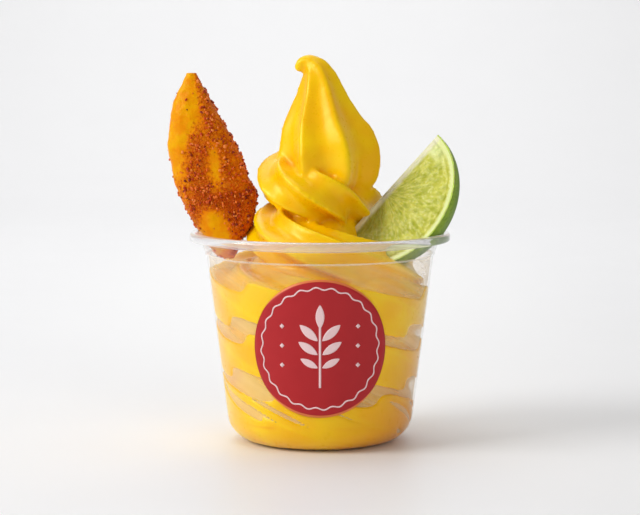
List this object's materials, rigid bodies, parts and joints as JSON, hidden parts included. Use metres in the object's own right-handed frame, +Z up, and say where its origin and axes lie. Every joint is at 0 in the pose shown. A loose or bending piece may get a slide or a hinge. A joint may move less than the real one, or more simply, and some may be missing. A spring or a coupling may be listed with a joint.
{
  "type": "mangonada cup",
  "caption": "Soft-serve mango sorbet swirled high in a clear rimmed dessert cup, with a chilli-dusted mango wedge, a lime wedge and a round sticker.",
  "frame": {"origin": "centre of the cup's flat base, on the surface it stands on", "axes": "+Z up, +Y from the front with the round sticker to the back, +X to the right seen from the front, towards the lime wedge"},
  "size_m": [0.1062, 0.095, 0.1408],
  "materials": {
    "cup": "clear, slightly milky moulded plastic",
    "soft_serve": null,
    "mango_wedge": null,
    "lime_wedge": null,
    "label": "satin printed paper sticker"
  },
  "bodies": {
    "root": {"cup": "cup", "soft_serve": "soft_serve", "mango_wedge": "mango_wedge", "lime_wedge": "lime_wedge", "label": "label"}
  },
  "joints": []
}
